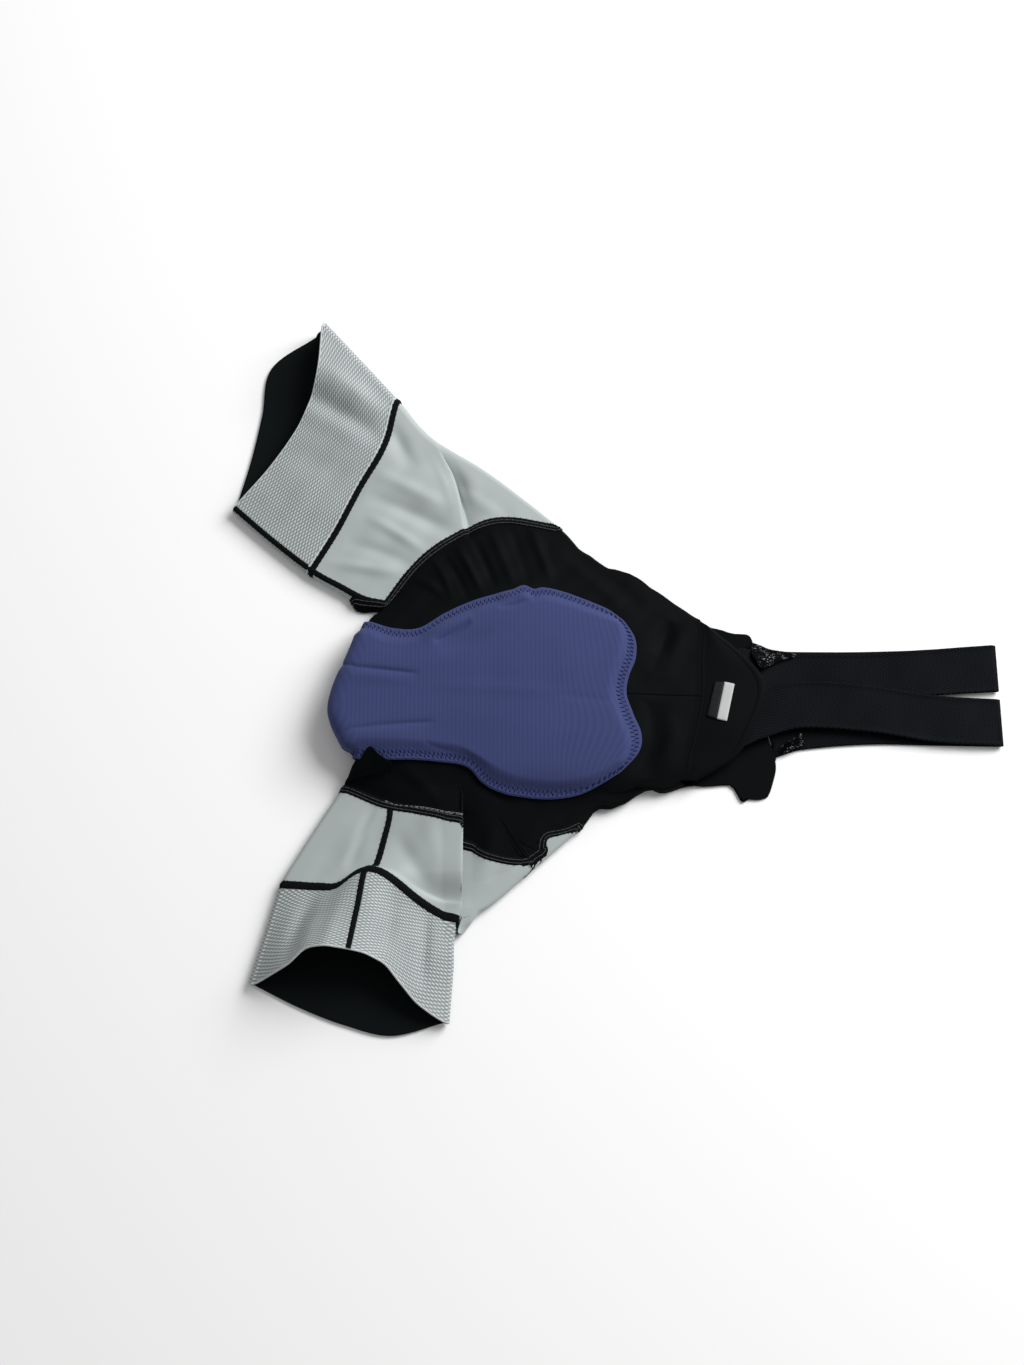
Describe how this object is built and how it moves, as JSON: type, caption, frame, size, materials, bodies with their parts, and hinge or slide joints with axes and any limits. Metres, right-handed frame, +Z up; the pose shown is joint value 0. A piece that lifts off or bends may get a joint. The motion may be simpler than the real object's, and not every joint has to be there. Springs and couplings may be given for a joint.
{
  "type": "cycling bib shorts",
  "caption": "Cycling bib shorts turned inside out and laid seat up: ribbed blue seat pad, black knit seat, grey legs with honeycomb hem bands, back yoke and two bib straps.",
  "frame": {"origin": "middle of the face that the shorts rest on, under the bounding box", "axes": "+X from the crotch to the shoulder ends of the straps, +Y towards the right leg, +Z up from the surface"},
  "size_m": [0.6794, 0.6504, 0.0476],
  "materials": {
    "leg_band": "grey honeycomb power knit, matte",
    "grey_knit": "smooth light grey knit with a soft sheen",
    "black_knit": "smooth black knit, soft sheen",
    "seat_pad": "blue ribbed knit over foam, matte",
    "strap_mesh": "black open mesh knit",
    "label_dark": "bare black woven satin",
    "label_white": "bare white woven satin"
  },
  "bodies": {
    "root": {"right_leg_band": "leg_band", "left_leg_band": "leg_band", "right_leg_panel": "grey_knit", "left_leg_panel": "grey_knit", "seat_right": "black_knit", "seat_left": "black_knit", "front_panel": "black_knit", "back_yoke": "black_knit", "seat_pad": "seat_pad", "right_strap": "strap_mesh", "left_strap": "strap_mesh", "label_dark": "label_dark", "label_white": "label_white"}
  },
  "joints": []
}
